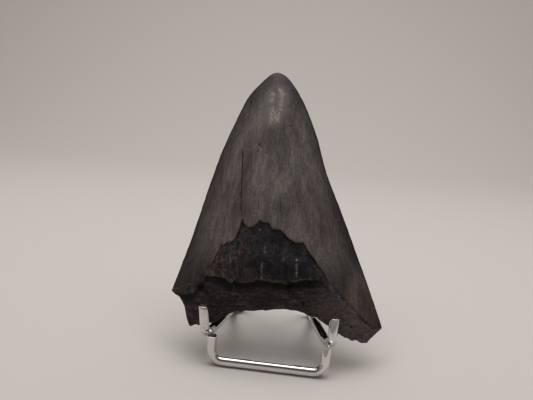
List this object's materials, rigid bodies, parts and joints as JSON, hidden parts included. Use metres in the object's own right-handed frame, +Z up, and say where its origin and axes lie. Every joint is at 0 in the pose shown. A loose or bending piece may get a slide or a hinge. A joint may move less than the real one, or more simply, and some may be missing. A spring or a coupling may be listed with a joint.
{
  "type": "fossil tooth on display stand",
  "caption": "Fossil megalodon tooth with a dark enamel crown, rough bourlette and short arched root, leaning in a small chrome wire display stand.",
  "frame": {"origin": "middle of the footprint, on the surface that the stand's three feet touch", "axes": "+X to the right as the tooth's front is looked at, +Y from the front bar to the loop at the back, +Z up"},
  "size_m": [0.0736, 0.0516, 0.0977],
  "materials": {
    "fossil_tooth": "satin dark grey fossil enamel, matt black bourlette and brown-black root",
    "chrome_wire": "bright chrome plate"
  },
  "bodies": {
    "root": {"tooth": "fossil_tooth", "cradle_wire": "chrome_wire", "foot_wire": "chrome_wire"}
  },
  "joints": []
}
